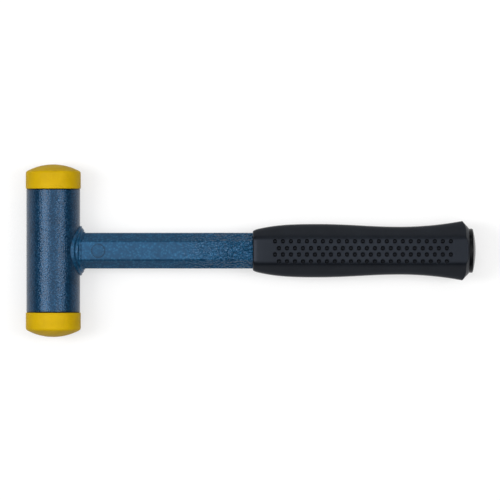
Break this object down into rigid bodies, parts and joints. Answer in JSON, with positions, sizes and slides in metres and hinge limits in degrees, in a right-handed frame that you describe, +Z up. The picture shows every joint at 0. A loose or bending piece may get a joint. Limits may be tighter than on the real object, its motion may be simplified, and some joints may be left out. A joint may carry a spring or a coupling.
{
  "type": "dead blow mallet",
  "caption": "Dead blow mallet: steel head filled with loose shot, domed soft faces, welded octagonal tube handle and dimpled moulded grip with an end cap.",
  "frame": {"origin": "under the middle of the bounding box, on the bench that the mallet lies on", "axes": "+X along the handle from head to butt, +Y along the head axis towards the right face, +Z up from the bench"},
  "size_m": [0.3272, 0.1256, 0.04],
  "materials": {
    "blue_enamel": "stoved hammertone enamel on steel",
    "yellow_polyurethane": "cast polyurethane, satin",
    "grip_vinyl": "moulded soft vinyl, satin",
    "cap_plastic": "injection-moulded, glossy",
    "bare_steel": "turned, bare",
    "shot_steel": "rolled balls, oiled"
  },
  "bodies": {
    "mallet": {"head_housing": "blue_enamel", "right_face": "yellow_polyurethane", "left_face": "yellow_polyurethane", "right_shot_disc": "bare_steel", "left_shot_disc": "bare_steel", "neck_saddle": "blue_enamel", "saddle_weld": "blue_enamel", "handle_weld": "blue_enamel", "handle_tube": "blue_enamel", "tube_plug": "bare_steel", "grip_sleeve": "grip_vinyl", "end_cap": "cap_plastic"},
    "shot": {"steel_shot": "shot_steel"}
  },
  "joints": [
    {"name": "shot_slide", "type": "slide", "parent": "mallet", "child": "shot", "axis": [0, 1, 0], "range_m": [-0.0035, 0.0035]}
  ]
}
